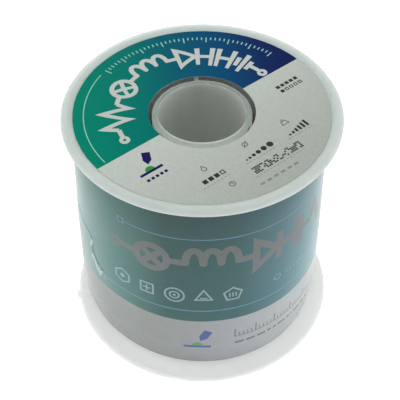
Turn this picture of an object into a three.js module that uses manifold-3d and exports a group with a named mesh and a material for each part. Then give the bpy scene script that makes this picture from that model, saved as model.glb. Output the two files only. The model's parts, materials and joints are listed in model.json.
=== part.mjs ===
// Solder wire spool, standing on its lower flange. Millimetres, +Z up, the origin at the
// middle of the lower flange's underside. The upper moulding carries the barrel that the
// wire is wound on, the lower moulding carries the spindle tube inside that barrel.
import * as THREE from "three";
import { mergeVertices } from "three/addons/utils/BufferGeometryUtils.js";
import Module from "manifold-3d";

const wasm = await Module();
wasm.setup();

// Driving dimensions, in millimetres unless the name says otherwise.
const FLANGE_RADIUS = 30;
const FLANGE_THICKNESS = 1.8;
const SPOOL_HEIGHT = 56.7;
const FACE_RECESS_DEPTH = 0.6; // the shallow step that each flange's outer face is sunk by
const RIM_FACE_WIDTH = 2.25; // from the recess to the flange's outermost edge
const BARREL_OUTER_RADIUS = 13.5;
const BARREL_WALL = 1.2;
const BARREL_SEAT_DEPTH = 0.6; // the groove in the lower flange that the barrel stands in
const SEAT_CLEARANCE = 0.3; // each side of the barrel's wall in its groove
const BORE_RADIUS = 9.55;
const TUBE_WALL = 1.15;
const TUBE_TOP_DROP = 0.58; // the spindle tube's rim below the upper flange's rim
const TUBE_EDGE_ROUNDING = 0.9; // of the tube's outer upper edge
const RIB_COUNT = 3;
const RIB_WIDTH = 1.15;
const RIB_CLEARANCE = 0.4; // from a rib's edge to the barrel's inner wall
const RIB_TOP_DROP = 0.6; // a rib's top below the upper face's recess
const FIRST_RIB_ANGLE_DEG = 96.5; // from +X
const GATE_MARK_LENGTH = 2.2;
const GATE_MARK_HEIGHT = 1.0;
const GATE_MARK_PROUD = 0.45;
const GATE_MARK_ANGLE_DEG = 189;
const WINDING_RADIUS = 26.5;
const WINDING_CLEARANCE = 0.3; // to the barrel, and to the upper flange
const FOOT_DRAW_IN = 1.3; // how much less the winding's radius is at the lower flange
const TOP_DRAW_IN = 0.6; // and at the upper flange
const DRAW_IN_LENGTH = 9; // from a flange to where the winding has its full radius
const FILM_THICKNESS = 0.2;
const FILM_CLEARANCE = 0.2; // between the winding and the film
const FILM_END_GAP = 0.9; // from a flange's inner face to the film's edge
const FILM_BULGE = 1.25; // how far the loose side of the film stands off
const BULGE_START_DEG = -34; // angles round the spool from the front, positive to +X
const BULGE_FULL_DEG = -84;
const BULGE_EASE_DEG = -104;
const BULGE_END_DEG = -154;
const LABEL_THICKNESS = 0.12;
const LABEL_HOLE_RADIUS = 11.4;
const LABEL_EDGE_MARGIN = 0.15; // from the label's edge to the recess's step

// Mesh fineness.
const SEGMENTS = 96;
const RIM_STEPS = 8;
const DRAW_IN_STEPS = 4;

// Sizes that follow from the ones above.
const rimRadius = FLANGE_THICKNESS / 2;
const recessRadius = FLANGE_RADIUS - RIM_FACE_WIDTH;
const upperInnerFace = SPOOL_HEIGHT - FLANGE_THICKNESS;
const barrelInnerRadius = BARREL_OUTER_RADIUS - BARREL_WALL;
const tubeOuterRadius = BORE_RADIUS + TUBE_WALL;
const barrelSeat = FLANGE_THICKNESS - BARREL_SEAT_DEPTH;
const upperRecessFloor = SPOOL_HEIGHT - FACE_RECESS_DEPTH;

const plastic = { color: 0xd6dbd7, roughness: 0.42, metalness: 0 };
const solder = { color: 0xa9abad, roughness: 0.38, metalness: 1 };
const film = { color: 0x6f9494, roughness: 0.22, metalness: 0 };
const paper = { color: 0x2f7f86, roughness: 0.45, metalness: 0 };

const radians = THREE.MathUtils.degToRad;

// Points of an arc from one angle to another round a centre, in the plane of a profile.
function arc(centreR, centreZ, radius, fromDeg, toDeg, steps) {
  return Array.from({ length: steps + 1 }, (_, i) => {
    const angle = radians(fromDeg + ((toDeg - fromDeg) * i) / steps);
    return [centreR + radius * Math.cos(angle), centreZ + radius * Math.sin(angle)];
  });
}

// A closed outline of [radius, height] points, turned round the Z axis.
function turned(outline) {
  const points = [...outline, outline[0]].map(([r, z]) => new THREE.Vector2(r, z));
  return new THREE.LatheGeometry(points, SEGMENTS).rotateX(Math.PI / 2);
}

function asSolid(geometry) {
  const bare = geometry.clone();
  bare.deleteAttribute("normal");
  bare.deleteAttribute("uv");
  const merged = mergeVertices(bare, 1e-4);
  return new wasm.Manifold(
    new wasm.Mesh({
      numProp: 3,
      vertProperties: merged.attributes.position.array,
      triVerts: new Uint32Array(merged.index.array),
    }),
  );
}

function asGeometry(solid) {
  const { vertProperties, triVerts } = solid.getMesh();
  const geometry = new THREE.BufferGeometry();
  geometry.setAttribute("position", new THREE.BufferAttribute(vertProperties, 3));
  geometry.setIndex(new THREE.BufferAttribute(triVerts, 1));
  const faceted = geometry.toNonIndexed();
  faceted.computeVertexNormals();
  return faceted;
}

function piece(name, geometry, finish) {
  const mesh = new THREE.Mesh(geometry, new THREE.MeshStandardMaterial(finish));
  mesh.name = name;
  return mesh;
}

// Upper flange, full round at its rim, with the winding barrel below it.
function upperSpoolHalf() {
  const middle = SPOOL_HEIGHT - rimRadius;
  return turned([
    [barrelInnerRadius, barrelSeat],
    [BARREL_OUTER_RADIUS, barrelSeat],
    [BARREL_OUTER_RADIUS, upperInnerFace],
    ...arc(FLANGE_RADIUS - rimRadius, middle, rimRadius, -90, 90, RIM_STEPS),
    [recessRadius, SPOOL_HEIGHT],
    [recessRadius, upperRecessFloor],
    [barrelInnerRadius, upperRecessFloor],
  ]);
}

// One centring rib on the spindle tube, at its angle round the axis.
function centringRib(angle) {
  const inner = tubeOuterRadius - TUBE_WALL / 2;
  const reach = barrelInnerRadius - RIB_CLEARANCE;
  const bottom = FLANGE_THICKNESS / 2;
  const top = upperRecessFloor - RIB_TOP_DROP;
  return new THREE.BoxGeometry(reach - inner, RIB_WIDTH, top - bottom)
    .translate((inner + reach) / 2, 0, (bottom + top) / 2)
    .rotateZ(angle);
}

// The stub that the moulding's gate left on the lower flange's rim.
function gateMark() {
  const rounding = GATE_MARK_HEIGHT / 2;
  return new THREE.SphereGeometry(1, 16, 10)
    .scale(GATE_MARK_PROUD + rounding, GATE_MARK_LENGTH / 2, rounding)
    .translate(FLANGE_RADIUS - rounding, 0, rimRadius)
    .rotateZ(radians(GATE_MARK_ANGLE_DEG));
}

// Lower flange with the barrel's groove, the spindle tube, its ribs and the gate mark.
function lowerSpoolHalf() {
  const tubeTop = SPOOL_HEIGHT - TUBE_TOP_DROP;
  const tubeRounding = Math.min(TUBE_EDGE_ROUNDING, TUBE_WALL);
  const grooveInner = barrelInnerRadius - SEAT_CLEARANCE;
  const grooveOuter = BARREL_OUTER_RADIUS + SEAT_CLEARANCE;
  const turnedBody = turned([
    [BORE_RADIUS, FACE_RECESS_DEPTH],
    [recessRadius, FACE_RECESS_DEPTH],
    [recessRadius, 0],
    ...arc(FLANGE_RADIUS - rimRadius, rimRadius, rimRadius, -90, 90, RIM_STEPS),
    [grooveOuter, FLANGE_THICKNESS],
    [grooveOuter, barrelSeat],
    [grooveInner, barrelSeat],
    [grooveInner, FLANGE_THICKNESS],
    [tubeOuterRadius, FLANGE_THICKNESS],
    ...arc(tubeOuterRadius - tubeRounding, tubeTop - tubeRounding, tubeRounding, 0, 90, RIM_STEPS),
    [BORE_RADIUS, tubeTop],
  ]);
  let solid = asSolid(turnedBody).add(asSolid(gateMark()));
  for (let i = 0; i < RIB_COUNT; i++) {
    const angle = radians(FIRST_RIB_ANGLE_DEG) + (i * 2 * Math.PI) / RIB_COUNT;
    solid = solid.add(asSolid(centringRib(angle)));
  }
  return asGeometry(solid);
}

// Heights up one wound surface, close together where it is drawn in.
function woundHeights(bottom, top) {
  const upper = upperInnerFace - DRAW_IN_LENGTH;
  const lower = FLANGE_THICKNESS + DRAW_IN_LENGTH;
  const spaced = (from, to) =>
    Array.from({ length: DRAW_IN_STEPS + 1 }, (_, i) => from + ((to - from) * i) / DRAW_IN_STEPS);
  return [...spaced(bottom, lower), ...spaced(upper, top)];
}

// The winding's radius at a height, drawn in towards each flange along a parabola.
function woundRadius(z) {
  const foot = Math.max(0, 1 - (z - FLANGE_THICKNESS) / DRAW_IN_LENGTH);
  const top = Math.max(0, 1 - (upperInnerFace - z) / DRAW_IN_LENGTH);
  return WINDING_RADIUS - FOOT_DRAW_IN * foot ** 2 - TOP_DRAW_IN * top ** 2;
}

// The solder wire's winding, with the outer shape that its last layer has.
function solderWinding() {
  const inner = BARREL_OUTER_RADIUS + WINDING_CLEARANCE;
  const bottom = FLANGE_THICKNESS;
  const top = upperInnerFace - WINDING_CLEARANCE;
  return turned([
    [inner, bottom],
    ...woundHeights(bottom, top).map((z) => [woundRadius(z), z]),
    [inner, top],
  ]);
}

// How far the film stands off at an angle round the spool from the front.
function filmBulge(angleDeg) {
  const rise = THREE.MathUtils.smoothstep(-angleDeg, -BULGE_START_DEG, -BULGE_FULL_DEG);
  const fall = THREE.MathUtils.smoothstep(-angleDeg, -BULGE_EASE_DEG, -BULGE_END_DEG);
  return FILM_BULGE * (rise - fall);
}

// The printed film: a closed sleeve, slightly out of round on its loose side.
function wrapFilm() {
  const bottom = FLANGE_THICKNESS + FILM_END_GAP;
  const top = upperInnerFace - FILM_END_GAP;
  const heights = woundHeights(bottom, top);
  const loop = [
    ...heights.map((z) => [woundRadius(z) + FILM_CLEARANCE + FILM_THICKNESS, z]),
    ...heights.toReversed().map((z) => [woundRadius(z) + FILM_CLEARANCE, z]),
  ];
  const positions = [];
  const faces = [];
  for (let i = 0; i < SEGMENTS; i++) {
    const angleDeg = -180 + (360 * i) / SEGMENTS;
    const angle = radians(angleDeg);
    for (const [radius, z] of loop) {
      const r = radius + filmBulge(angleDeg);
      positions.push(r * Math.sin(angle), -r * Math.cos(angle), z);
    }
    for (let j = 0; j < loop.length; j++) {
      const here = i * loop.length;
      const next = ((i + 1) % SEGMENTS) * loop.length;
      const above = (j + 1) % loop.length;
      faces.push(here + j, next + j, next + above, here + j, next + above, here + above);
    }
  }
  const geometry = new THREE.BufferGeometry();
  geometry.setAttribute("position", new THREE.Float32BufferAttribute(positions, 3));
  geometry.setIndex(faces);
  geometry.computeVertexNormals();
  return geometry;
}

// The ring-shaped sticker lying in the upper flange's recess.
function faceLabel() {
  const outer = recessRadius - LABEL_EDGE_MARGIN;
  const top = upperRecessFloor + LABEL_THICKNESS;
  return turned([
    [LABEL_HOLE_RADIUS, upperRecessFloor],
    [outer, upperRecessFloor],
    [outer, top],
    [LABEL_HOLE_RADIUS, top],
  ]);
}

const spool = new THREE.Group();
spool.add(piece("upper_spool_half", upperSpoolHalf(), plastic));
spool.add(piece("lower_spool_half", lowerSpoolHalf(), plastic));
spool.add(piece("solder_winding", solderWinding(), solder));
spool.add(piece("wrap_film", wrapFilm(), film));
spool.add(piece("face_label", faceLabel(), paper));

export default spool;
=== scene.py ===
import json
import math
import random

import bpy
import numpy as np
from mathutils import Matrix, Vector
from mathutils.geometry import delaunay_2d_cdt

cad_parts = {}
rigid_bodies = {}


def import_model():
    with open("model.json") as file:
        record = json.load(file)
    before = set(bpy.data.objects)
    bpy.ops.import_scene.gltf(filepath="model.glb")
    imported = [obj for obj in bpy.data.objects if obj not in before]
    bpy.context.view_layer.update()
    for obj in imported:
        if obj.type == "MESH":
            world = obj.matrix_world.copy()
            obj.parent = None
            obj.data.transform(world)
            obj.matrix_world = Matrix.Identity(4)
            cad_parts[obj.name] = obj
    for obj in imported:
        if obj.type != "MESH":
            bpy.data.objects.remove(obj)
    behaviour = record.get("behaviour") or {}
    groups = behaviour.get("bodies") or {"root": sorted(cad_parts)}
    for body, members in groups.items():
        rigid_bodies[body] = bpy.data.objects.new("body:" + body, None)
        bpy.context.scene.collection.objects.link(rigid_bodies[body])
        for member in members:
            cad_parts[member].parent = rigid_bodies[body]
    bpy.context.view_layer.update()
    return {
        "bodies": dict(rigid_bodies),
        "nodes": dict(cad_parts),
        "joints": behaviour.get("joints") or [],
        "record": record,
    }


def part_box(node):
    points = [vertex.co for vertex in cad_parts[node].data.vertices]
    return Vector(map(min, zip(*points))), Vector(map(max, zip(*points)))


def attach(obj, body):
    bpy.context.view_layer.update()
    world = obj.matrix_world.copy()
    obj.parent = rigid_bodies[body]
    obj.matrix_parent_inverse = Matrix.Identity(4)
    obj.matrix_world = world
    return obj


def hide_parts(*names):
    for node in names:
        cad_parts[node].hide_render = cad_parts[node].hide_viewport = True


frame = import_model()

MM = 0.001


def low(node):
    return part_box(node)[0] / MM


def high(node):
    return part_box(node)[1] / MM


# ------------ sizes, in millimetres

FLANGE_RADIUS = high("upper_spool_half").x
SPOOL_HEIGHT = high("upper_spool_half").z
BARREL_FOOT = low("upper_spool_half").z
WINDING_BOTTOM = low("solder_winding").z
WINDING_TOP = high("solder_winding").z
WINDING_RADIUS = high("solder_winding").x
FILM_BOTTOM = low("wrap_film").z
FILM_TOP = high("wrap_film").z
FILM_RADIUS = high("wrap_film").x
LABEL_BOTTOM = low("face_label").z
LABEL_TOP = high("face_label").z
LABEL_RADIUS = high("face_label").x

FLANGE_THICKNESS = WINDING_BOTTOM
UPPER_INNER_FACE = SPOOL_HEIGHT - FLANGE_THICKNESS
RECESS_DEPTH = SPOOL_HEIGHT - LABEL_BOTTOM
LABEL_EDGE_RADIUS = LABEL_RADIUS - 0.2
RECESS_RADIUS = LABEL_EDGE_RADIUS + 0.04
RECESS_SLOPE_WIDTH = 1.2  # of the upper rim's inner side, from its flat top to the label
RECESS_SLOPE_ROUNDING = 1
RECESS_SLOPE_FOOT = LABEL_TOP + 0.05
TUBE_TOP = high("lower_spool_half").z
TUBE_EDGE_ROUNDING = 0.9
RIM_ROUNDING = FLANGE_THICKNESS / 2 - 0.02
FOOT_ROUNDING = 0.55
BARREL_RADIUS = 13.5
BARREL_INNER_RADIUS = 12.3
BARREL_SEAT_CLEARANCE = 0.3
ROOT_FILLET = 0.6
BORE_RADIUS = 9.55
TUBE_RADIUS = 10.7
RIB_WIDTH = 1.15
RIB_REACH = 11.9
RIB_TOP = TUBE_TOP - 0.62
RIB_RISES = (0.48, 0, 0)  # how much higher a rib's outer end is than where it meets the tube
RIB_SOFTNESS = 0.12
RIB_JOINT = 0.02
FIRST_RIB_ANGLE = 96.5
GATE_ANGLE = 189
GATE_SIZE = (1.25, 1.4, 0.85)  # half the stub's extent outwards, along and up the rim
GATE_CENTRE_INSET = 0.5
GATE_TEAR = (-0.1, 0.06)  # the shares by which the stub's points are drawn in or out
LABEL_HOLE_RADIUS = 11.4

WIRE_DIAMETER = 0.8
WIRE_END_DIP = 0.7  # how far under the outer layer its two ends go
WIRE_DIP_TURNS = 0.35
CORE_RADIUS = WINDING_RADIUS - WIRE_DIAMETER + 0.1
CORE_CLEARANCE = 0.05
FOOT_DRAW_IN = 1.3  # how much less the winding's radius is at the lower flange
TOP_DRAW_IN = 0.6
DRAW_IN_LENGTH = 9
FILM_THICKNESS = 0.08

FILM_SWELL = 0.2  # how much fuller the film is below its middle
SWELL_HEIGHT = 24
SWELL_SPREAD = 13
FILM_BULGE = 1.25
BULGE_EASE = 0.2  # the share of the bulge that is gone at the film's top
BULGE_AZIMUTHS = (-34, -84, -104, -154)  # where it starts, is full, begins to ease, ends
BAND_TOP = 18.95  # where the film's pale lower band ends
SEAM_AZIMUTH = 171
SEAM_STEP = 0.09
SEAM_EDGE = (-0.25, 0.05)  # degrees from the seam over which its edge stands up
SEAM_TAIL = (2, 8)  # degrees from the seam over which the overlap sinks back
# Each wave's height, its count round the film, its slant in radians per millimetre, its phase.
FILM_WAVES = [(0.03, 3, 0.09, 0), (0.022, 7, -0.21, 1), (0.02, 2, 0.37, 0)]

# The film's torn crease and its white patches, which are partly stress whitening and partly a
# painted highlight, as places on the flat film: millimetres round the spool from its front, and
# height.
CREASE_LINE = [(-35.4, 35.2), (-32, 32.9), (-29.6, 32), (-28, 31.4), (-28.2, 28.4), (-27.8, 26.7),
               (-26.5, 24.9), (-24.6, 23.5)]
CREASE_LIFT = (0.05, 0.12)  # how far its left side stands off, at the line's start and end
CREASE_REACH = (1.5, 0.1)  # how far from the line the film is lifted, to its left and right
CRUMPLE = 0.45  # the share by which folds change the lift, where the film is torn
CREASE_GRID = (0.15, 0.11)  # between the points along the line, and away from it
UPPER_WHITENING_AND_HIGHLIGHT = [(-28.5, 31.3), (-28.4, 30.4), (-27.9, 31.3), (-28, 29.8), (-28.9, 27.9),
                   (-29.5, 28.4), (-29.1, 29.7)]
LOWER_WHITENING_AND_HIGHLIGHT = [(-28.7, 26.3), (-27.9, 26.1), (-27.4, 25.3), (-26.7, 24.8), (-25.7, 24.3),
                   (-24.5, 23.5), (-25.4, 22.3), (-26.2, 20.5), (-26.4, 21.8), (-27.4, 22.3),
                   (-27.8, 23.9), (-28.2, 24.7), (-29.1, 24.9)]
HIGHLIGHT_PATCH_GAP = [(-27.3, 24.7), (-26.6, 24.5), (-25.6, 23.9), (-25.1, 23.3), (-25.9, 22.8),
                 (-26.7, 23.4)]

# The film's print, on the flat film. The back's crosses the flat film's ends, so it starts
# both before the front's and after it.
HALF_ROUND_FILM = math.pi * FILM_RADIUS
PRINT_STARTS = (-33.5 - HALF_ROUND_FILM, -21.5, -33.5 + HALF_ROUND_FILM)
PRINT_LENGTH = 70
SYMBOL_ROW = 38
FIGURE_ROW = 27.4
DOT_ROW = 27.6
LOWER_STRIPE = 22.6
UPPER_STRIPE = 45.2
STRIPE_WIDTH = 0.26

# The label's print, from the spool's axis.
LABEL_SPLIT_ANGLE = 39.8  # the diameter between the label's coloured and pale halves
GRADIENT_ANGLE = 12.5
PAPER_PAINTED_SHADE_ANGLE = -40  # the way in which painted shade darkens the paper
SYMBOL_ARC_RADIUS = 18.3
SYMBOL_ARC_START = 213
TICK_ARC_RADIUS = 25.1

# Where the plastic's painted light and shade change: heights, distances from the axis, or places
# along Y.
TUBE_TOP_FADE = (TUBE_TOP - 0.5, TUBE_TOP - 0.1)
TUBE_WALL_FADE = (TUBE_TOP - 1.1, TUBE_TOP - TUBE_EDGE_ROUNDING)
FOOT_PAINTED_LIGHT_FADE = (FLANGE_THICKNESS, 3 * FLANGE_THICKNESS)
BORE_FADE = (BORE_RADIUS + 0.15, BORE_RADIUS + 0.35)
RIB_FADE = (TUBE_RADIUS, TUBE_RADIUS + 0.15)
BARREL_FADE = (RIB_REACH - 0.3, RIB_REACH)
UPPER_HALF_FADE = (BARREL_INNER_RADIUS + 0.1, BARREL_INNER_RADIUS + 0.4)
FOOT_BACK_PAINTED_SHADE_FADE = (-10, 8)

TURN_SEGMENTS = 192
FILLET_STEPS = 6
SHARP_DEG = 35

# The studio, in metres and degrees.
CAMERA_PLACE = (0, -0.1833, 0.21916)
CAMERA_PITCH = 46.033
CAMERA_YAW = 0.142
CAMERA_LENS = 103.97
FLOOR_SIZE = 6
FLOOR_DROP = 0.0001

# The colours of the small print, as screens write them, with the crease's painted shadow line and
# its white patches, which are partly stress whitening and partly a painted highlight.
FILM_INKS = {
    "grey": (124, 130, 131),
    "pale": (162, 190, 195),
    "blue": (110, 165, 196),
    "navy": (84, 102, 172),
    "green": (104, 176, 108),
    "text": (128, 130, 134),
    "seam": (150, 172, 172),
    "whitened": (194, 215, 208),
    "creased": (48, 92, 88),
}
LABEL_INKS = {
    "white": (216, 223, 217),
    "pale": (165, 226, 211),
    "dark": (62, 64, 62),
    "grey": (122, 126, 121),
    "faint": (152, 158, 150),
    "navy": (40, 32, 100),
    "green": (62, 160, 62),
}

# How bright the surroundings are where the camera sees them, in a reflection, and as a light.
FLOOR_GLOW = (0.75, 0.5, 0.5)
WORLD_GLOW = (1.0, 0.3, 0.24)
LAMPS = [  # name, place, size, watts
    ("overhead", (-0.03, -0.02, 0.9), 0.8, 3.1),
    ("back_window", (0, 0.85, 0.35), 0.6, 2.45),
    ("left_window", (-0.82, 0.25, 0.3), 0.6, 1.85),
    ("right_window", (0.85, 0.1, 0.25), 0.6, 1.9),
]


# ------------ making meshes

def mesh_piece(name, points, faces, materials, face_materials=None, sharp_deg=SHARP_DEG):
    """A smooth-shaded object from points in millimetres, sharp where it bends steeply."""
    mesh = bpy.data.meshes.new(name)
    mesh.from_pydata([tuple(c * MM for c in p) for p in points], [], faces)
    for material in materials:
        mesh.materials.append(material)
    if face_materials is not None:
        mesh.polygons.foreach_set("material_index", face_materials)
    mesh.polygons.foreach_set("use_smooth", [True] * len(mesh.polygons))
    mesh.set_sharp_from_angle(angle=math.radians(sharp_deg))
    mesh.update()
    piece = bpy.data.objects.new(name, mesh)
    bpy.context.scene.collection.objects.link(piece)
    return piece


def rounded(corners):
    """The closed outline through corners (radius, height, fillet), each rounded by an arc."""
    outline = []
    for i, (radius, height, fillet) in enumerate(corners):
        here = Vector((radius, height))
        back = (Vector(corners[i - 1][:2]) - here).normalized()
        on = (Vector(corners[(i + 1) % len(corners)][:2]) - here).normalized()
        half = back.angle(on) / 2
        centre = here + (back + on).normalized() * (fillet / math.sin(half))
        start = here + back * (fillet / math.tan(half)) - centre
        end = here + on * (fillet / math.tan(half)) - centre
        sweep = math.atan2(start.x * end.y - start.y * end.x, start.dot(end))
        first = math.atan2(start.y, start.x)
        for step in range(FILLET_STEPS + 1):
            angle = first + sweep * step / FILLET_STEPS
            outline.append((centre.x + fillet * math.cos(angle),
                            centre.y + fillet * math.sin(angle)))
    return outline


def turned(outline, segments=TURN_SEGMENTS):
    """Points and quads of a closed outline of (radius, height) turned round the Z axis."""
    points = []
    faces = []
    count = len(outline)
    for i in range(segments):
        angle = 2 * math.pi * i / segments
        points += [(r * math.cos(angle), r * math.sin(angle), z) for r, z in outline]
        here = i * count
        beside = ((i + 1) % segments) * count
        for j in range(count):
            k = (j + 1) % count
            faces.append((here + j, beside + j, beside + k, here + k))
    return points, faces


def swept(rings, count):
    """Faces of a closed bar through rings of count points each: its two ends and its sides."""
    last = (rings - 1) * count
    faces = [tuple(range(count)), tuple(range(last + count - 1, last - 1, -1))]
    for a in range(0, last, count):
        b = a + count
        for j in range(count):
            k = (j + 1) % count
            faces.append((a + k, a + j, b + j, b + k))
    return faces


def join(base, added):
    """Joins the closed shape of added to base by a boolean union."""
    modifier = base.modifiers.new("join", "BOOLEAN")
    modifier.operation = "UNION"
    modifier.solver = "EXACT"
    modifier.object = added
    bpy.context.view_layer.update()
    graph = bpy.context.evaluated_depsgraph_get()
    mesh = bpy.data.meshes.new_from_object(base.evaluated_get(graph))
    base.modifiers.clear()
    base.data = mesh
    bpy.data.objects.remove(added)


def evenly_lit(piece):
    """Keeps large faces shaded as they lie, beside the small faces of their roundings."""
    modifier = piece.modifiers.new("even_normals", "WEIGHTED_NORMAL")
    modifier.keep_sharp = True
    return piece


# ------------ drawing flat inked shapes

def arc_points(x, y, radius, from_deg, to_deg, steps):
    angles = [math.radians(from_deg + (to_deg - from_deg) * i / steps) for i in range(steps + 1)]
    return [(x + radius * math.cos(a), y + radius * math.sin(a)) for a in angles]


def offset(points, distance, closed=False):
    """The line through points, moved sideways to its left, with mitred corners."""
    path = [Vector(p) for p in points]
    moved = []
    for i, here in enumerate(path):
        normals = []
        if closed or i > 0:
            along = (here - path[i - 1]).normalized()
            normals.append(Vector((-along.y, along.x)))
        if closed or i < len(path) - 1:
            along = (path[(i + 1) % len(path)] - here).normalized()
            normals.append(Vector((-along.y, along.x)))
        mitre = sum(normals, Vector((0, 0))).normalized()
        moved.append(tuple(here + mitre * (distance / max(mitre.dot(normals[0]), 0.35))))
    return moved


def line(points, width):
    """An open line of some width, as one outline."""
    return [offset(points, -width / 2) + offset(points, width / 2)[::-1]]


def bar(x0, y0, x1, y1, width):
    return line([(x0, y0), (x1, y1)], width)


def disc(x, y, radius, steps=20):
    return [arc_points(x, y, radius, 0, 360, steps)[:-1]]


def ring(x, y, radius, width):
    return disc(x, y, radius, 32) + disc(x, y, radius - width, 32)


def outlined(points, width):
    """A closed line of some width along a polygon that runs anticlockwise."""
    return [offset(points, -width / 2, True), offset(points, width / 2, True)]


def polygon(x, y, radius, sides, turn_deg):
    return arc_points(x, y, radius, turn_deg, turn_deg + 360, sides)[:-1]


def box_loop(x0, y0, x1, y1):
    return [[(x0, y0), (x1, y0), (x1, y1), (x0, y1)]]


def cell(x, y, size, frame=0):
    """A square with its lower left corner at a point, solid or with a frame of some width."""
    loops = box_loop(x, y, x + size, y + size)
    if frame:
        loops += box_loop(x + frame, y + frame, x + size - frame, y + size - frame)
    return loops


def at(x, y, turn_deg=0):
    """Places a drawing with its origin at a point, turned."""
    c, s = math.cos(math.radians(turn_deg)), math.sin(math.radians(turn_deg))
    return lambda u, v: (x + u * c - v * s, y + u * s + v * c)


def round_arc(radius, from_deg):
    """Bends a drawing round the origin: its x runs clockwise, its y outwards."""
    def place(u, v):
        angle = math.radians(from_deg) - u / radius
        return ((radius + v) * math.cos(angle), (radius + v) * math.sin(angle))
    return place


class Drawing:
    """Inked shapes on a flat sheet. A later shape covers an earlier one."""

    def __init__(self, longest_edge):
        self.longest_edge = longest_edge
        self.shapes = []

    def ink(self, name, loops, place=at(0, 0)):
        self.shapes.append((name, [self.placed(loop, place) for loop in loops]))

    def placed(self, loop, place):
        """The loop with its long edges divided, moved to its place, anticlockwise."""
        result = []
        for (x0, y0), (x1, y1) in zip(loop, loop[1:] + loop[:1]):
            parts = max(1, math.ceil(math.hypot(x1 - x0, y1 - y0) / self.longest_edge))
            steps = [i / parts for i in range(parts)]
            result += [place(x0 + (x1 - x0) * s, y0 + (y1 - y0) * s) for s in steps]
        around = zip(result, result[1:] + result[:1])
        area = sum(x0 * y1 - x1 * y0 for (x0, y0), (x1, y1) in around)
        return result if area > 0 else result[::-1]

    def triangles(self, sheet, paper, loose_points=()):
        """Points, triangles and each triangle's ink name, for a sheet of [border, *holes]."""
        shapes = [(paper, sheet)] + self.shapes
        points = []
        faces = []
        owners = []
        for index, (_, loops) in enumerate(shapes):
            for hole, loop in enumerate(loops):
                faces.append(list(range(len(points), len(points) + len(loop))))
                points += [Vector(p) for p in loop]
                owners.append((index, hole > 0))
        points += [Vector(p) for p in loose_points]
        flat, _, triangles, _, _, covers = delaunay_2d_cdt(points, [], faces, 1, 1e-4, True)
        kept = []
        inks = []
        for triangle, cover in zip(triangles, covers):
            outer = {owners[k][0] for k in cover if not owners[k][1]}
            holes = {owners[k][0] for k in cover if owners[k][1]}
            if 0 in holes or 0 not in outer:
                continue
            kept.append(tuple(triangle))
            inks.append(shapes[max(outer - holes)][0])
        return [tuple(p) for p in flat], kept, inks


# ------------ materials

def srgb(red, green, blue):
    """A colour as screens write it, 0 to 255, as the linear values that a socket takes."""
    shares = [c / 255 for c in (red, green, blue)]
    return [s / 12.92 if s < 0.04045 else ((s + 0.055) / 1.055) ** 2.4 for s in shares] + [1]


def stops(*values):
    """A ramp's stops, from (position, red, green, blue) with the colour as screens write it."""
    return [(position, srgb(*colour)) for position, *colour in values]


def add_node(tree, kind, output, inputs=None, **settings):
    """An output of a new node, whose inputs are set to values or linked to other outputs."""
    made = tree.nodes.new("ShaderNode" + kind)
    for setting, value in settings.items():
        setattr(made, setting, value)
    for key, value in (inputs or {}).items():
        if isinstance(value, bpy.types.NodeSocket):
            tree.links.new(value, made.inputs[key])
        else:
            made.inputs[key].default_value = value
    return made.outputs[output]


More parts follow.
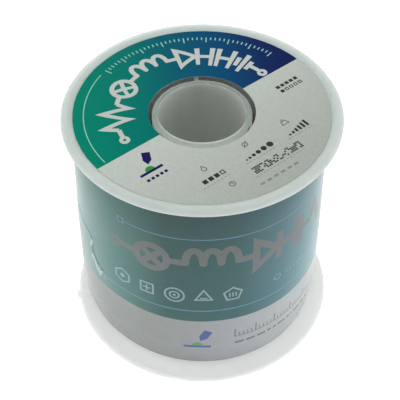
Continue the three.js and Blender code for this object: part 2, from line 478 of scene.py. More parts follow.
class Finish:
    """A Principled material built from its position on the object, in metres."""

    def __init__(self, name, **sockets):
        self.material = bpy.data.materials.new(name)
        self.material.use_nodes = True
        self.tree = self.material.node_tree
        self.shader = self.tree.nodes["Principled BSDF"]
        self.place = self.node("TexCoord", "Object")
        for socket, value in sockets.items():
            self.shader.inputs[socket.replace("_", " ")].default_value = value

    def node(self, kind, output, inputs=None, **settings):
        return add_node(self.tree, kind, output, inputs, **settings)

    def noise(self, size_mm, detail=2.0, stretch=(1, 1, 1)):
        """A grey value that varies over about size_mm, drawn out along an axis if asked."""
        place = self.node("Mapping", "Vector", {"Vector": self.place, "Scale": stretch})
        scale = 1 / (size_mm * MM)
        return self.node("TexNoise", "Fac", {"Vector": place, "Scale": scale, "Detail": detail})

    def ramp(self, factor, colours):
        """A colour that follows factor through colours, each as (position, colour)."""
        output = self.node("ValToRGB", "Color", {"Fac": factor})
        elements = output.node.color_ramp.elements
        elements[0].position, elements[0].color = colours[0]
        elements[1].position, elements[1].color = colours[-1]
        for position, colour in colours[1:-1]:
            elements.new(position).color = colour
        return output

    def rescaled(self, value, start, end, least=0, most=1):
        """A value between start and end, brought into the range from least to most."""
        return self.node("MapRange", "Result", {"Value": value, "From Min": start, "From Max": end,
                                                "To Min": least, "To Max": most})

    def share_along(self, axis, start_mm, end_mm):
        """How far a point is from start to end along X, Y or Z, from 0 to 1."""
        part = self.node("SeparateXYZ", axis, {"Vector": self.place})
        return self.rescaled(part, start_mm * MM, end_mm * MM)

    def share_towards(self, angle_deg, start_mm, end_mm):
        """How far a point is from start to end along a direction in the XY plane, from 0 to 1."""
        angle = math.radians(angle_deg)
        direction = (math.cos(angle), math.sin(angle), 0)
        along = self.node("VectorMath", "Value", {0: self.place, 1: direction},
                          operation="DOT_PRODUCT")
        return self.rescaled(along, start_mm * MM, end_mm * MM)

    def share_outwards(self, start_mm, end_mm):
        """How far a point is from one distance from the Z axis to another, from 0 to 1."""
        flat = self.node("VectorMath", "Vector", {0: self.place, 1: (1, 1, 0)},
                         operation="MULTIPLY")
        distance = self.node("VectorMath", "Value", {0: flat}, operation="LENGTH")
        return self.rescaled(distance, start_mm * MM, end_mm * MM)

    def mixed(self, factor, first, second, blend="MIX"):
        """Two colours, each a value or a socket, mixed by a factor."""
        return self.node("Mix", 2, {0: factor, 6: first, 7: second}, data_type="RGBA",
                         blend_type=blend)

    def multiplied(self, first, second):
        return self.mixed(1, first, second, "MULTIPLY")

    def spread_noise(self, noise, least, most):
        """A noise, most of which lies between 0.3 and 0.7, brought into another range."""
        return self.rescaled(noise, 0.3, 0.7, least, most)

    def colour(self, output):
        self.tree.links.new(output, self.shader.inputs["Base Color"])

    def roughness(self, noise, least, most):
        spread = self.spread_noise(noise, least, most)
        self.tree.links.new(spread, self.shader.inputs["Roughness"])

    def relief(self, height, depth_mm):
        """Raises the surface by a grey value, by up to depth_mm, on top of earlier relief."""
        inputs = {"Height": height, "Distance": depth_mm * MM}
        normal = self.shader.inputs["Normal"]
        if normal.is_linked:
            inputs["Normal"] = normal.links[0].from_socket
        self.tree.links.new(self.node("Bump", "Normal", inputs), normal)


def moulded_plastic():
    """Milky plastic that scatters light, with painted light and shade in its colour: painted light
    makes the foot whitest and lighter at its front, and whitens the bore, the tube's outer wall,
    the ribs and the barrel's inner wall; painted shade greys the tube's top, the bore's top edge
    and the foot's back.
    """
    finish = Finish("milky_polystyrene", IOR=1.5, Specular_IOR_Level=0.1, Subsurface_Weight=1,
                    Subsurface_Scale=0.007, Subsurface_Radius=(1, 1, 1))
    clouded = finish.mixed(finish.noise(9), srgb(195, 206, 199), srgb(189, 200, 194))
    # Painted shade: the tube's top is greyed.
    painted_tube_top_shade = finish.mixed(finish.noise(9), srgb(150, 163, 155), srgb(146, 159, 151))
    # Painted light and shade: the bore's wall is near white down the bore and grey at its top edge,
    # and the tube's outer wall is near white below a greyer top.
    tube_rise = finish.share_along("Z", *TUBE_TOP_FADE)
    bore = finish.mixed(tube_rise, srgb(230, 238, 228), srgb(136, 148, 141))
    wall_rise = finish.share_along("Z", *TUBE_WALL_FADE)
    wall = finish.mixed(wall_rise, srgb(254, 255, 253), srgb(200, 210, 202))
    edge = finish.mixed(tube_rise, wall, painted_tube_top_shade)
    tube = finish.mixed(finish.share_outwards(*BORE_FADE), bore, edge)
    # Painted light: the ribs and the barrel's inner wall are whiter than the rest, lifting the
    # shade in the gap round the tube.
    tube_and_ribs = finish.mixed(finish.share_outwards(*RIB_FADE), tube, srgb(236, 242, 236))
    painted_lit_barrel_wall = srgb(254, 255, 250)
    upper_half = finish.mixed(finish.share_outwards(*UPPER_HALF_FADE), painted_lit_barrel_wall, clouded)
    above_foot = finish.mixed(finish.share_outwards(*BARREL_FADE), tube_and_ribs, upper_half)
    # Painted light: the foot is near white, as if lit through from the bright floor, and it darkens
    # towards its back as painted shade.
    painted_lit_foot_front = finish.mixed(finish.noise(9), srgb(246, 248, 247), srgb(240, 243, 242))
    foot = finish.mixed(finish.share_along("Y", *FOOT_BACK_PAINTED_SHADE_FADE), painted_lit_foot_front, srgb(222, 228, 222))
    finish.colour(finish.mixed(finish.share_along("Z", *FOOT_PAINTED_LIGHT_FADE), foot, above_foot))
    finish.roughness(finish.noise(5, 3), 0.5, 0.62)
    finish.relief(finish.noise(0.35, 3), 0.002)
    finish.relief(finish.noise(7), 0.02)
    return finish.material


def drawn_wire():
    finish = Finish("tin_lead_solder", Metallic=1, Anisotropic=0.3)
    bright = srgb(196, 197, 199)
    dull = srgb(158, 160, 163)
    finish.colour(finish.mixed(finish.spread_noise(finish.noise(2.5, 4), 0, 1), bright, dull))
    finish.roughness(finish.noise(1.2, 3), 0.26, 0.42)
    finish.relief(finish.noise(0.12, 2, (1, 1, 3)), 0.01)
    return finish.material


def film_finish(name, colours):
    """Printed plastic film, whose colour changes from one side of the spool to the other, paler at
    the sides by painted sheen, and darker at the top by painted shade under the upper flange.
    """
    finish = Finish(name, IOR=1.5)
    # The colour across the spool: the print, with the painted sheen and painted shade that the
    # given colours carry.
    across = finish.share_along("X", -FILM_RADIUS, FILM_RADIUS)
    ink = finish.ramp(across, colours)
    # Painted shade: the film darkens towards its top, under the upper flange.
    height = finish.share_along("Z", BAND_TOP, FILM_TOP)
    painted_shade_under_flange = finish.ramp(height, stops((0, 255, 255, 255), (0.5, 246, 246, 246),
                                           (1, 208, 208, 208)))
    mottling = finish.ramp(finish.noise(1.6, 4), stops((0.3, 247, 247, 247), (0.7, 255, 255, 255)))
    finish.colour(finish.multiplied(finish.multiplied(ink, painted_shade_under_flange), mottling))
    finish.roughness(finish.noise(4, 3), 0.16, 0.22)
    finish.relief(finish.noise(6, 1), 0.02)
    return finish.material


def label_finish(name, colours, angle_deg=GRADIENT_ANGLE):
    """Coated paper, whose colour may change from one side to the other: the label's printed
    gradient, and painted shade across the paper and its small inks.
    """
    finish = Finish(name, Specular_IOR_Level=0.02)
    across = finish.share_towards(angle_deg, -LABEL_RADIUS, LABEL_RADIUS)
    ink = finish.ramp(across, colours)
    grain = finish.ramp(finish.noise(0.5, 4), stops((0.3, 244, 244, 244), (0.7, 255, 255, 255)))
    finish.colour(finish.multiplied(ink, grain))
    finish.roughness(finish.noise(3, 3), 0.3, 0.4)
    finish.relief(finish.noise(0.4, 3), 0.004)
    return finish.material


def small_inks(sheet, finish, left_painted_shade, colours):
    """A finish for each of a sheet's small printed colours, darkened slightly on its left by
    painted shade, and lightened there by painted light when the share is negative.
    """
    inks = {}
    for name, colour in colours.items():
        right = srgb(*colour)
        # Painted shade on the left: darker by this share, lighter where it is negative.
        left = [c * (1 - left_painted_shade) for c in right[:3]] + [1]
        inks[name] = finish(f"{sheet}_{name}", [(0, left), (1, right)])
    return inks


PLASTIC = moulded_plastic()
SOLDER = drawn_wire()


# ------------ spool mouldings

def upper_moulding():
    """The flange that carries the label, with the barrel that the wire is wound on."""
    return rounded([
        (BARREL_INNER_RADIUS, BARREL_FOOT, 0.2),
        (BARREL_RADIUS, BARREL_FOOT, 0.2),
        (BARREL_RADIUS, UPPER_INNER_FACE, ROOT_FILLET),
        (FLANGE_RADIUS, UPPER_INNER_FACE, RIM_ROUNDING),
        (FLANGE_RADIUS, SPOOL_HEIGHT, RIM_ROUNDING),
        (RECESS_RADIUS + RECESS_SLOPE_WIDTH, SPOOL_HEIGHT, RECESS_SLOPE_ROUNDING),
        (RECESS_RADIUS, RECESS_SLOPE_FOOT, 0.15),
        (RECESS_RADIUS, LABEL_BOTTOM, 0.06),
        (BARREL_INNER_RADIUS, LABEL_BOTTOM, 0.25),
    ])


def lower_moulding():
    """The flange that the spool stands on, with the spindle tube inside the barrel."""
    groove_inner = BARREL_INNER_RADIUS - BARREL_SEAT_CLEARANCE
    groove_outer = BARREL_RADIUS + BARREL_SEAT_CLEARANCE
    return rounded([
        (BORE_RADIUS, RECESS_DEPTH, 0.25),
        (RECESS_RADIUS, RECESS_DEPTH, 0.1),
        (RECESS_RADIUS, 0, 0.12),
        (FLANGE_RADIUS, 0, FOOT_ROUNDING),
        (FLANGE_RADIUS, FLANGE_THICKNESS, RIM_ROUNDING),
        (groove_outer, FLANGE_THICKNESS, 0.1),
        (groove_outer, BARREL_FOOT, 0.1),
        (groove_inner, BARREL_FOOT, 0.1),
        (groove_inner, FLANGE_THICKNESS, 0.1),
        (TUBE_RADIUS, FLANGE_THICKNESS, 0.3),
        (TUBE_RADIUS, TUBE_TOP, TUBE_EDGE_ROUNDING),
        (BORE_RADIUS, TUBE_TOP, 0.05),
    ])


def rib_section(inset, rise):
    """A rib's outline as (radius, height), which follows the tube's wall and rounded edge."""
    wall = TUBE_RADIUS + RIB_JOINT
    reach, top = RIB_REACH - inset, RIB_TOP - inset
    across, up = TUBE_RADIUS - TUBE_EDGE_ROUNDING, TUBE_TOP - TUBE_EDGE_ROUNDING
    start = math.degrees(math.asin((top - up) / (wall - across)))
    corners = [(wall, FLANGE_THICKNESS + RIB_JOINT), (reach, FLANGE_THICKNESS + RIB_JOINT),
               (reach, top + rise - RIB_SOFTNESS), (reach - RIB_SOFTNESS, top + rise)]
    return corners + arc_points(across, up, wall - across, start, 0, 6)


def centring_rib(angle_deg, rise):
    """A rib down the outside of the spindle tube, with its top edges softened."""
    half = RIB_WIDTH / 2
    layers = [(-half, RIB_SOFTNESS), (-half + RIB_SOFTNESS, 0), (half - RIB_SOFTNESS, 0),
              (half, RIB_SOFTNESS)]
    c, s = math.cos(math.radians(angle_deg)), math.sin(math.radians(angle_deg))
    points = []
    for across, inset in layers:
        points += [(r * c - across * s, r * s + across * c, z)
                   for r, z in rib_section(inset, rise)]
    return points, swept(len(layers), len(points) // len(layers))


def gate_mark():
    """The torn stub that the moulding's gate left on the lower rim."""
    rings, sides = 14, 24
    outwards, along, up = GATE_SIZE
    rough = random.Random(4)
    points = [(0, 0, up)]
    for i in range(1, rings):
        polar = math.pi * i / rings
        for j in range(sides):
            around = 2 * math.pi * j / sides
            tear = 1 + rough.uniform(*GATE_TEAR)
            points.append((outwards * math.sin(polar) * math.cos(around) * tear,
                           along * math.sin(polar) * math.sin(around) * tear,
                           up * math.cos(polar) * tear))
    points.append((0, 0, -up))
    faces = []
    for j in range(sides):
        k = (j + 1) % sides
        faces.append((0, 1 + j, 1 + k))
        for i in range(rings - 2):
            a, b = 1 + i * sides, 1 + (i + 1) * sides
            faces.append((a + j, b + j, b + k, a + k))
        last = 1 + (rings - 2) * sides
        faces.append((last + j, len(points) - 1, last + k))
    c, s = math.cos(math.radians(GATE_ANGLE)), math.sin(math.radians(GATE_ANGLE))
    centre = FLANGE_RADIUS - GATE_CENTRE_INSET
    moved = [((centre + x) * c - y * s, (centre + x) * s + y * c, z + FLANGE_THICKNESS / 2)
             for x, y, z in points]
    return mesh_piece("stub", moved, faces, [PLASTIC], sharp_deg=80)


# ------------ the wound wire

def drawn_in(z):
    """How much less the winding's radius is at a height, near the flanges."""
    foot = np.clip(1 - (z - WINDING_BOTTOM) / DRAW_IN_LENGTH, 0, 1)
    top = np.clip(1 - (UPPER_INNER_FACE - z) / DRAW_IN_LENGTH, 0, 1)
    return FOOT_DRAW_IN * foot ** 2 + TOP_DRAW_IN * top ** 2


def wire_turns():
    """The outer layer as one unbroken helix, whose two ends dip under it."""
    steps_per_turn, sides = 60, 10
    bottom = WINDING_BOTTOM + WIRE_DIAMETER / 2
    top = WINDING_TOP - WIRE_DIAMETER / 2
    turns = round((top - bottom) / WIRE_DIAMETER)
    count = turns * steps_per_turn + 1
    share = np.arange(count) / (count - 1)
    angle = 2 * math.pi * turns * share
    height = bottom + (top - bottom) * share
    ends = np.clip(1 - np.minimum(share, 1 - share) * turns / WIRE_DIP_TURNS, 0, 1)
    radius = WINDING_RADIUS - WIRE_DIAMETER / 2 - drawn_in(height) - WIRE_END_DIP * ends ** 2
    points = []
    for a, z, r in zip(angle, height, radius):
        for j in range(sides):
            round_wire = 2 * math.pi * j / sides
            out = r + WIRE_DIAMETER / 2 * math.cos(round_wire)
            up = z + WIRE_DIAMETER / 2 * math.sin(round_wire)
            points.append((out * math.cos(a), out * math.sin(a), up))
    return points, swept(count, sides)


def inner_layers():
    """The layers under the outer one, as the closed shape that they fill."""
    inner = BARREL_RADIUS + CORE_CLEARANCE
    heights = np.linspace(WINDING_BOTTOM + CORE_CLEARANCE, WINDING_TOP - CORE_CLEARANCE, 40)
    outside = [(CORE_RADIUS - float(drawn_in(z)), float(z)) for z in heights]
    return [(inner, outside[0][1])] + outside + [(inner, outside[-1][1])]


# ------------ generic artwork

# Each symbol takes its row's height and a stroke's width. It returns its length along the row,
# and its shapes, each a list of outlines.

def resistor(height, w):
    length, reach = 1.2 * height, 0.42 * height
    xs = [0, 1 / 8, 3 / 8, 5 / 8, 7 / 8, 1]
    ys = [0, reach, -reach, reach, -reach, 0]
    return length, [line([(x * length, y) for x, y in zip(xs, ys)], w)]


def capacitor(height, w):
    length, reach = 0.36 * height, 0.45 * height
    return length, [bar(x, -reach, x, reach, w) for x in (w / 2, length - w / 2)]


def battery(height, w):
    length = 0.78 * height
    gap = (length - w) / 3
    plates = [(w / 2 + i * gap, r * height) for i, r in enumerate((0.46, 0.22, 0.46, 0.22))]
    return length, [bar(x, -reach, x, reach, w) for x, reach in plates]


def inductor(height, w):
    bumps, half = 3, 0.2 * height
    steps = [math.pi * step / 16 for step in range(17)]
    shapes = []
    for b in range(bumps):
        arch = [(half * (2 * b + 1 - math.cos(t)), 0.42 * height * math.sin(t)) for t in steps]
        shapes.append(line(arch, w))
    shapes += [disc(2 * half * b, 0, w / 2, 14) for b in range(bumps + 1)]
    return 2 * half * bumps, shapes


def diode(height, w):
    length, reach = 0.8 * height, 0.42 * height
    triangle = [(w / 2, -reach), (length - w, 0), (w / 2, reach)]
    return length, [outlined(triangle, w), bar(length - w / 2, -reach, length - w / 2, reach, w)]


def lamp(height, w):
    radius = 0.46 * height
    reach = radius * 0.68
    return 2 * radius, [ring(radius, 0, radius, w),
                        bar(radius - reach, -reach, radius + reach, reach, w * 0.9),
                        bar(radius - reach, reach, radius + reach, -reach, w * 0.9)]


def terminal(height, w):
    radius = 0.17 * height
    return 2 * radius, [ring(radius, 0, radius, min(w, radius * 0.7))]


def circuit(drawing, ink, place, symbols, height, stroke, lead):
    """Circuit symbols in a row, joined by leads that overlap them slightly."""
    overlap = 0.05
    x = 0
    for i, symbol in enumerate(symbols):
        length, shapes = symbol(height, stroke)
        for loops in shapes:
            drawing.ink(ink, [[(u + x, v) for u, v in loop] for loop in loops], place)
        x += length
        if i < len(symbols) - 1:
            drawing.ink(ink, bar(x - overlap, 0, x + lead + overlap, 0, stroke), place)
            x += lead


def dashes(drawing, ink, place, x0, x1, y, dash, gap, width):
    """A level dashed line from x0 to x1."""
    x = x0
    while x + dash <= x1:
        drawing.ink(ink, bar(x, y, x + dash, y, width), place)
        x += dash + gap


def droplet(size):
    """The outline of a drop, as high as size."""
    radius = 0.34 * size
    return arc_points(0, radius - size / 2, radius, -215, 35, 18) + [(0, size / 2)]


def soldering_mark(drawing, place, size):
    """An iron's tip over a joint on its pad."""
    tip = [(-0.16, 0.5), (-0.16, 0.08), (0, -0.14), (0.16, 0.08), (0.16, 0.5)]
    lean = at(0.17 * size, 0.02 * size, -28)
    drawing.ink("navy", [[lean(u * size, v * size) for u, v in tip]], place)
    drawing.ink("green", [arc_points(0, -0.38 * size, 0.2 * size, 0, 180, 14)], place)
    pad = bar(-0.5 * size, -0.44 * size, 0.5 * size, -0.44 * size, 0.12 * size)
    drawing.ink("navy", pad, place)


def film_artwork():
    """The film's print with the crease's painted shadow and painted highlight, flat: x runs round
    the film in millimetres, 0 at its front, y is height.
    """
    drawing = Drawing(longest_edge=0.7)
    half = HALF_ROUND_FILM
    drawing.ink("band", box_loop(-half, FILM_BOTTOM, half, BAND_TOP))
    drawing.ink("blue", bar(-half, LOWER_STRIPE, half, LOWER_STRIPE, STRIPE_WIDTH))
    symbols = [terminal, lamp, inductor, diode, capacitor, resistor, battery, terminal]
    for start in PRINT_STARTS:
        circuit(drawing, "grey", at(start, SYMBOL_ROW), symbols, height=9.4, stroke=1.7, lead=3.1)
        end = start + PRINT_LENGTH
        drawing.ink("blue", bar(start + 4, UPPER_STRIPE, end - 4, UPPER_STRIPE, STRIPE_WIDTH))
        for x in (start + 3.3, end - 3.3):
            drawing.ink("blue", outlined(polygon(x, UPPER_STRIPE, 1, 4, 45), STRIPE_WIDTH))
        for i, sides in enumerate((6, 4, 32, 3, 5)):
            x = start + 3 + 6.3 * i
            figure = polygon(x, FIGURE_ROW, 2.1, sides, 45 if sides == 4 else 90)
            drawing.ink("pale", outlined(figure, 0.4))
            for loops in small_marks(x, FIGURE_ROW)[i]:
                drawing.ink("pale", loops)
        drawing.ink("blue", ring(start + 39, DOT_ROW, 1, 0.28))
        for i in range(11):
            drawing.ink("blue", disc(start + 41.6 + 1.15 * i, DOT_ROW, 0.3, 12))
        soldering_mark(drawing, at(start + 20.5, 12.4), size=6.2)
        length_scale(drawing, at(start + 29, 12.2))
    seam = FILM_RADIUS * math.radians(SEAM_AZIMUTH)
    drawing.ink("seam", bar(seam, FILM_BOTTOM, seam, FILM_TOP, 0.18))
    # Painted shadow along the crease's upper part.
    drawing.ink("creased", line(CREASE_LINE[:4], 0.2))
    # White patches, partly stress whitening and partly a painted highlight, with a gap of the
    # film's own teal between them.
    drawing.ink("whitened", [UPPER_WHITENING_AND_HIGHLIGHT])
    drawing.ink("whitened", [LOWER_WHITENING_AND_HIGHLIGHT])
    drawing.ink("teal", [HIGHLIGHT_PATCH_GAP])
    return drawing


def small_marks(x, y):
    """What fills each of the row of small outlined figures."""
    return [
        [disc(x, y, 0.6)],
        [bar(x - 0.9, y, x + 0.9, y, 0.35), bar(x, y - 0.9, x, y + 0.9, 0.35)],
        [ring(x, y, 1.2, 0.35), disc(x, y, 0.35)],
        [bar(x - 0.8, y - 0.5, x + 0.8, y - 0.5, 0.35)],
        [bar(x + dx, y - 0.8, x + dx, y + 0.5, 0.3) for dx in (-0.7, 0, 0.7)],
    ]


def length_scale(drawing, place):
    """A plain ruled scale, with a row of marks under it."""
    drawing.ink("text", bar(0, 0, 30, 0, 0.22), place)
    for i in range(31):
        tall = 2.6 if i % 5 == 0 else 1.3
        drawing.ink("text", bar(i, 0, i, tall, 0.26 if i % 5 else 0.34), place)
    pattern = random.Random(11)
    x = 0
    while x < 28:
        wide = pattern.choice((0.5, 1.0, 1.6, 2.2))
        drawing.ink("text", bar(x, -2.3, x + wide, -2.3, 0.75), place)
        x += wide + 0.55


def label_artwork():
    """The label's print, flat: x to the spool's right, y to its back, from the spool's axis."""
    drawing = Drawing(longest_edge=0.8)
    split = math.radians(LABEL_SPLIT_ANGLE)
    beyond = LABEL_RADIUS + 2
    pale_half = [(beyond * math.cos(angle), beyond * math.sin(angle))
                 for angle in (split + math.pi * i / 24 for i in range(-24, 1))]
    drawing.ink("paper", [pale_half])
    symbols = [terminal, resistor, lamp, inductor, diode, capacitor, battery, terminal]
    row = round_arc(SYMBOL_ARC_RADIUS, SYMBOL_ARC_START)
    circuit(drawing, "white", row, symbols, height=6.8, stroke=1.02, lead=2.1)
    drawing.ink("pale", line(arc_points(0, 0, TICK_ARC_RADIUS, 218.5, 152, 60), 0.22))
    for i in range(41):
        turn = math.radians(148 - 2.4 * i)
        tick = 1.7 if i % 5 == 0 else 0.9
        ends = [(r * math.cos(turn), r * math.sin(turn))
                for r in (TICK_ARC_RADIUS, TICK_ARC_RADIUS - tick)]
        drawing.ink("pale", line(ends, 0.26))
    label_notes(drawing, lambda x, y: at(*at(0, 0, LABEL_SPLIT_ANGLE)(x, y), LABEL_SPLIT_ANGLE))
    return drawing


def label_notes(drawing, spot):
    """The small marks on the pale half, set out along the diameter that bounds it."""
    soldering_mark(drawing, spot(-19.3, -4.9), size=5.6)
    for i in range(5):
        drawing.ink("navy", bar(-2.6 + 1.1 * i, 0, -1.9 + 1.1 * i, 0, 0.7), spot(-19.2, -9.2))

    flux, bore, load = spot(-10.9, -13.5), spot(0.2, -13.5), spot(11, -13.5)
    batch = spot(-9.2, -20.5)
    drawing.ink("grey", outlined(droplet(1.5), 0.24), flux)
    drawing.ink("grey", ring(0, 0, 0.7, 0.24), bore)
    drawing.ink("grey", bar(-0.8, -0.8, 0.8, 0.8, 0.22), bore)
    weight = [(-0.85, -0.75), (0.85, -0.75), (0.5, 0.3), (-0.5, 0.3)]
    drawing.ink("grey", outlined(weight, 0.24), load)
    drawing.ink("grey", ring(0, 0.55, 0.34, 0.16), load)
    drawing.ink("grey", ring(0, 0, 0.75, 0.24), batch)
    drawing.ink("grey", line([(0, 0.45), (0, 0), (0.35, 0)], 0.2), batch)

    flux_value, bore_value = spot(-10.7, -16.7), spot(0.7, -16.7)
    for i in range(4):
        drawing.ink("dark", cell(-2.9 + 1.5 * i, -0.55, 1.1, 0.25 if i == 3 else 0), flux_value)
    x = -3.4
    for i in range(6):
        radius = 0.22 + 0.11 * i
        drawing.ink("dark", disc(x + radius, -0.75 + radius, radius, 14), bore_value)
        x += 2 * radius + 0.35
    load_value = spot(12, -16.7)
    for i in range(6):
        drawing.ink("dark", bar(-2.6 + i, -0.8, -2.6 + i, -0.35 + 0.3 * i, 0.6), load_value)
    batch_value, filled = spot(3, -20.6), random.Random(7)
    for column in range(26):
        for row in range(4):
            if filled.random() < 0.55:
                dot = cell(-6.6 + 0.5 * column, -0.95 + 0.5 * row, 0.42)
                drawing.ink("dark", dot, batch_value)

    for x0, x1, y in ((-14.6, -7, -18.1), (-3.4, 5, -18.1), (8.2, 15.6, -18.1), (-4.2, 9.8, -22.2)):
        dashes(drawing, "grey", spot(0, 0), x0, x1, y, dash=0.55, gap=0.35, width=0.12)
    dashes(drawing, "faint", spot(0, 0), -5, 5.5, -24.3, dash=1.1, gap=0.7, width=0.55)
    level_marks = spot(20, -5.3)
    for i in range(10):
        x, y = -2.9 + 1.25 * (i % 5), 0.3 - 1.5 * (i // 5)
        drawing.ink("dark", cell(x, y, 0.9, 0.22 if i > 5 else 0), level_marks)


# ------------ film and label

def smoothstep(value, start, end):
    share = np.clip((value - start) / (end - start), 0, 1)
    return share * share * (3 - 2 * share)


def crease_height(azimuth, z):
    """How far the film stands off beside its crease: lifted and crumpled to the line's left."""
    x = np.radians(azimuth) * FILM_RADIUS
    nearest = np.full(np.shape(x), 1e3)
    lifted = np.zeros(np.shape(x))
    along = np.zeros(np.shape(x))
    parts = len(CREASE_LINE) - 1
    for i, ((x0, z0), (x1, z1)) in enumerate(zip(CREASE_LINE, CREASE_LINE[1:])):
        run = math.hypot(x1 - x0, z1 - z0)
        share = np.clip(((x - x0) * (x1 - x0) + (z - z0) * (z1 - z0)) / run ** 2, 0, 1)
        dx, dz = x - x0 - share * (x1 - x0), z - z0 - share * (z1 - z0)
        gap = np.hypot(dx, dz)
        closer = gap < nearest
        nearest = np.where(closer, gap, nearest)
        lifted = np.where(closer, (x1 - x0) * dz < (z1 - z0) * dx, lifted)
        along = np.where(closer, (i + share) / parts, along)
    reach = np.where(lifted, *CREASE_REACH)
    lift = CREASE_LIFT[0] + (CREASE_LIFT[1] - CREASE_LIFT[0]) * smoothstep(along, 0.3, 0.6)
    folds = np.sin(7.3 * x + 3.1 * z) * np.sin(5.9 * z - 4.4 * x) + 0.5 * np.sin(14 * x - 9 * z)
    crumple = CRUMPLE * folds * smoothstep(along, 0.35, 0.5)
    return lift * (1 + crumple) * np.exp(-(nearest / reach) ** 2)


def film_radius(azimuth, z):
    """The film's outer radius, in mm, at azimuths in degrees and heights in mm."""
    start, full, ease, end = BULGE_AZIMUTHS
    rise = smoothstep(-azimuth, -start, -full)
    fall = smoothstep(-azimuth, -ease, -end)
    middle = (FILM_BOTTOM + FILM_TOP) / 2
    bulge = FILM_BULGE * (rise - fall) * (1 - BULGE_EASE * smoothstep(z, middle, FILM_TOP))
    swell = FILM_SWELL * np.exp(-((z - SWELL_HEIGHT) / SWELL_SPREAD) ** 2)
    around = np.radians(azimuth)
    waves = sum(high * np.sin(count * around + slant * z + phase)
                for high, count, slant, phase in FILM_WAVES)
    past = azimuth - SEAM_AZIMUTH
    overlap = SEAM_STEP * smoothstep(past, *SEAM_EDGE) * (1 - smoothstep(past, *SEAM_TAIL))
    outside = FILM_RADIUS - drawn_in(z) + swell + bulge + waves + overlap
    return outside + crease_height(azimuth, z)


def film_surface(azimuth, z):
    """Points on the film's outside, in mm."""
    radius = film_radius(azimuth, z)
    around = np.radians(azimuth)
    return np.stack([radius * np.sin(around), -radius * np.cos(around), z], axis=-1)


def film_normals(azimuth, z):
    """The directions that the film's outside faces, from points slightly to each side."""
    small = 0.02
    along = film_surface(azimuth + small, z) - film_surface(azimuth - small, z)
    up = film_surface(azimuth, z + small) - film_surface(azimuth, z - small)
    normal = np.cross(along, up)
    return normal / np.linalg.norm(normal, axis=-1, keepdims=True)


def film_loose_points():
    """Points that let the flat film bend: a grid all over, close together at the crease."""
    points = []
    rows = 72
    columns = 240
    for row in range(1, rows):
        z = FILM_BOTTOM + (FILM_TOP - FILM_BOTTOM) * row / rows
        shift = 0.5 if row % 2 else 0.25
        points += [(-HALF_ROUND_FILM + 2 * HALF_ROUND_FILM * (column + shift) / columns, z)
                   for column in range(columns)]
    step_along, step_aside = CREASE_GRID
    for start, end in zip(CREASE_LINE, CREASE_LINE[1:]):
        run = Vector(end) - Vector(start)
        aside = Vector((run.y, -run.x)).normalized()
        steps = math.ceil(run.length / step_along)
        for i in range(steps):
            on_line = Vector(start) + run * (i / steps)
            points += [tuple(on_line + aside * (step_aside * j + 0.02)) for j in range(-4, 16)]
    return points


def thickened(points, triangles, normals, thickness):
    """A closed shell from an open sheet: its points and faces, and a normal for each corner."""
    count = len(points)
    inside = points - normals * thickness
    faces = [tuple(t) for t in triangles]
    faces += [tuple(count + v for v in reversed(t)) for t in triangles]
    corner_normals = [normals[v] for t in triangles for v in t]
    corner_normals += [-normals[v] for t in triangles for v in reversed(t)]
    edges = {}
    for t in triangles:
        for a, b in zip(t, t[1:] + t[:1]):
            edges[(a, b)] = True
    for a, b in edges:
        if (b, a) in edges:
            continue
        faces.append((b, a, count + a, count + b))
        flat = np.cross(points[a] - points[b], inside[a] - points[b])
        corner_normals += [flat / np.linalg.norm(flat)] * 4
    return np.concatenate([points, inside]), faces, corner_normals


def printed_piece(name, points, faces, corner_normals, inks, edge_ink, finishes):
    """A printed sheet as an object, with one material for each ink."""
    names = list(finishes)
    chosen = [names.index(ink) for ink in inks]
    chosen += [names.index(edge_ink)] * (len(faces) - len(inks))
    piece = mesh_piece(name, points, faces, [finishes[n] for n in names], chosen, 180)
    piece.data.normals_split_custom_set([tuple(n) for n in corner_normals])
    return piece


def film_piece():
    """The printed film, bent round the winding and closed where its flat ends meet."""
    half = HALF_ROUND_FILM
    sheet = box_loop(-half, FILM_BOTTOM, half, FILM_TOP)
    drawing = film_artwork()
    border = [drawing.placed(sheet[0], at(0, 0))]
    flat, triangles, inks = drawing.triangles(border, "teal", film_loose_points())
    same = {}
    merged = []
    for x, z in flat:
        x = -half if abs(x - half) < 1e-3 else x
        merged.append(same.setdefault((round(x, 3), round(z, 3)), len(same)))
    kept = [(tuple(merged[v] for v in t), ink) for t, ink in zip(triangles, inks)]
    kept = [(t, ink) for t, ink in kept if len(set(t)) == 3]
    flat = np.array(list(same))
    azimuth, z = np.degrees(flat[:, 0] / FILM_RADIUS), flat[:, 1]
    shell = thickened(film_surface(azimuth, z), [t for t, _ in kept], film_normals(azimuth, z),
                      FILM_THICKNESS)
    finishes = {
        # Painted sheen: the teal pales towards the spool's sides, where the film glances the bright
        # floor. It also turns from green on the left to blue on the right. The band's change across
        # the spool is painted light and shade.
        "teal": film_finish("film_teal", stops(
            (0.02, 126, 170, 166), (0.15, 80, 142, 135), (0.36, 42, 101, 97),
            (0.64, 48, 105, 108), (0.82, 74, 131, 141), (0.96, 112, 166, 176))),
        "band": film_finish("film_band", stops(
            (0.09, 161, 167, 166), (0.29, 167, 171, 169), (0.5, 178, 182, 185),
            (0.71, 189, 194, 197), (0.86, 194, 199, 202), (1, 186, 191, 193))),
        **small_inks("film", film_finish, -0.04, FILM_INKS),
    }
    return printed_piece("film_sleeve", *shell, [ink for _, ink in kept], "band", finishes)


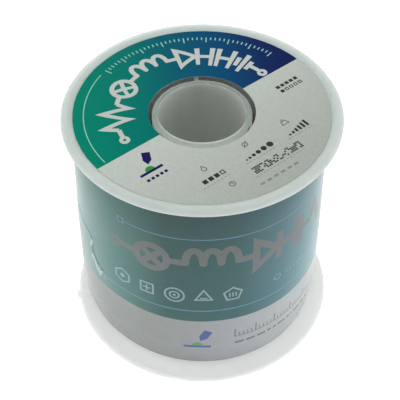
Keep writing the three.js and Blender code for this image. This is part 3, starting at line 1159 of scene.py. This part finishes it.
def label_piece():
    """The printed label, lying on the upper flange."""
    sheet = disc(0, 0, LABEL_EDGE_RADIUS, 180) + disc(0, 0, LABEL_HOLE_RADIUS, 120)
    flat, triangles, inks = label_artwork().triangles(sheet, "gradient")
    points = np.array([(x, y, LABEL_TOP) for x, y in flat])
    normals = np.tile((0.0, 0.0, 1.0), (len(flat), 1))
    shell = thickened(points, triangles, normals, LABEL_TOP - LABEL_BOTTOM)
    finishes = {
        "gradient": label_finish("label_gradient", stops(
            (0, 0, 149, 120), (0.3, 0, 127, 119), (0.43, 0, 104, 122),
            (0.65, 5, 79, 126), (0.8, 13, 46, 102), (0.9, 18, 36, 96))),
        # Painted shade: the paper darkens towards one side.
        "paper": label_finish("label_paper", stops((0.48, 214, 223, 215), (0.95, 190, 198, 189)),
                              angle_deg=PAPER_PAINTED_SHADE_ANGLE),
        **small_inks("label", label_finish, 0.03, LABEL_INKS),
    }
    return printed_piece("label_sticker", *shell, inks, "paper", finishes)


# ------------ the pieces, on the frame

def place_piece(piece, node):
    """Puts the piece on the frame's one body, in the place of a node, whose part it hides."""
    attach(piece, "root")
    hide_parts(node)


def build_spool():
    upper = mesh_piece("flange_and_barrel", *turned(upper_moulding()), [PLASTIC])
    place_piece(evenly_lit(upper), "upper_spool_half")

    lower = mesh_piece("flange_and_spindle_tube", *turned(lower_moulding()), [PLASTIC])
    join(lower, gate_mark())
    lower.data.set_sharp_from_angle(angle=math.radians(SHARP_DEG))
    place_piece(evenly_lit(lower), "lower_spool_half")
    for i, rise in enumerate(RIB_RISES):
        shape = centring_rib(FIRST_RIB_ANGLE + 360 * i / len(RIB_RISES), rise)
        rib = mesh_piece("centring_rib", *shape, [PLASTIC])
        place_piece(rib, "lower_spool_half")

    wire = mesh_piece("solder_outer_layer", *wire_turns(), [SOLDER], sharp_deg=80)
    place_piece(wire, "solder_winding")
    core = mesh_piece("solder_inner_layers", *turned(inner_layers(), 96), [SOLDER])
    place_piece(core, "solder_winding")

    place_piece(film_piece(), "wrap_film")
    place_piece(label_piece(), "face_label")


# ------------ studio

def strength_by_ray(tree, seen, mirrored, light):
    """A strength that differs for what the camera sees, for reflections and for other light."""
    rays = tree.nodes.new("ShaderNodeLightPath").outputs
    strength = light
    for ray, extra in (("Is Camera Ray", seen - light), ("Is Glossy Ray", mirrored - light)):
        strength = add_node(tree, "Math", "Value", {0: rays[ray], 1: extra, 2: strength},
                            operation="MULTIPLY_ADD")
    return strength


def studio_floor():
    """A white floor that shows the spool's shadow, plain white beyond it and clear from below."""
    bpy.ops.mesh.primitive_plane_add(size=FLOOR_SIZE, location=(0, 0, -FLOOR_DROP))
    floor = bpy.context.object
    floor.name = "floor"
    material = bpy.data.materials.new("floor_white")
    material.use_nodes = True
    tree = material.node_tree
    tree.nodes.clear()
    matt = add_node(tree, "BsdfDiffuse", "BSDF", {"Color": srgb(240, 241, 241)})
    glow = add_node(tree, "Emission", "Emission", {"Strength": strength_by_ray(tree, *FLOOR_GLOW)})
    lit = add_node(tree, "AddShader", "Shader", {0: matt, 1: glow})
    from_below = add_node(tree, "NewGeometry", "Backfacing")
    clear = add_node(tree, "BsdfTransparent", "BSDF")
    sided = add_node(tree, "MixShader", "Shader", {0: from_below, 1: lit, 2: clear})
    surface = tree.nodes.new("ShaderNodeOutputMaterial").inputs["Surface"]
    tree.links.new(sided, surface)
    floor.data.materials.append(material)


def studio_world():
    """Even white surroundings: full white where seen, softer in reflections and as a light."""
    world = bpy.data.worlds.new("white_room")
    bpy.context.scene.world = world
    world.use_nodes = True
    tree = world.node_tree
    background = tree.nodes["Background"]
    background.inputs["Color"].default_value = (1, 1, 1, 1)
    tree.links.new(strength_by_ray(tree, *WORLD_GLOW), background.inputs["Strength"])


def soft_lamp(name, place, size, watts):
    """A square soft light that faces the middle of the spool."""
    lamp_data = bpy.data.lights.new(name, "AREA")
    lamp_data.size = size
    lamp_data.energy = watts
    made = bpy.data.objects.new(name, lamp_data)
    made.location = place
    aim = Vector((0, 0, SPOOL_HEIGHT * MM / 2)) - Vector(place)
    made.rotation_euler = aim.to_track_quat("-Z", "Y").to_euler()
    bpy.context.scene.collection.objects.link(made)


def studio_camera():
    camera_data = bpy.data.cameras.new("camera")
    camera_data.sensor_width = 36
    camera_data.lens = CAMERA_LENS
    camera_data.clip_start = 0.01
    camera = bpy.data.objects.new("camera", camera_data)
    camera.location = CAMERA_PLACE
    camera.rotation_euler = (math.radians(90 - CAMERA_PITCH), 0, math.radians(CAMERA_YAW))
    bpy.context.scene.collection.objects.link(camera)
    bpy.context.scene.camera = camera


studio_camera()
build_spool()
studio_floor()
studio_world()
for lamp_values in LAMPS:
    soft_lamp(*lamp_values)
bpy.context.scene.view_settings.view_transform = "Standard"
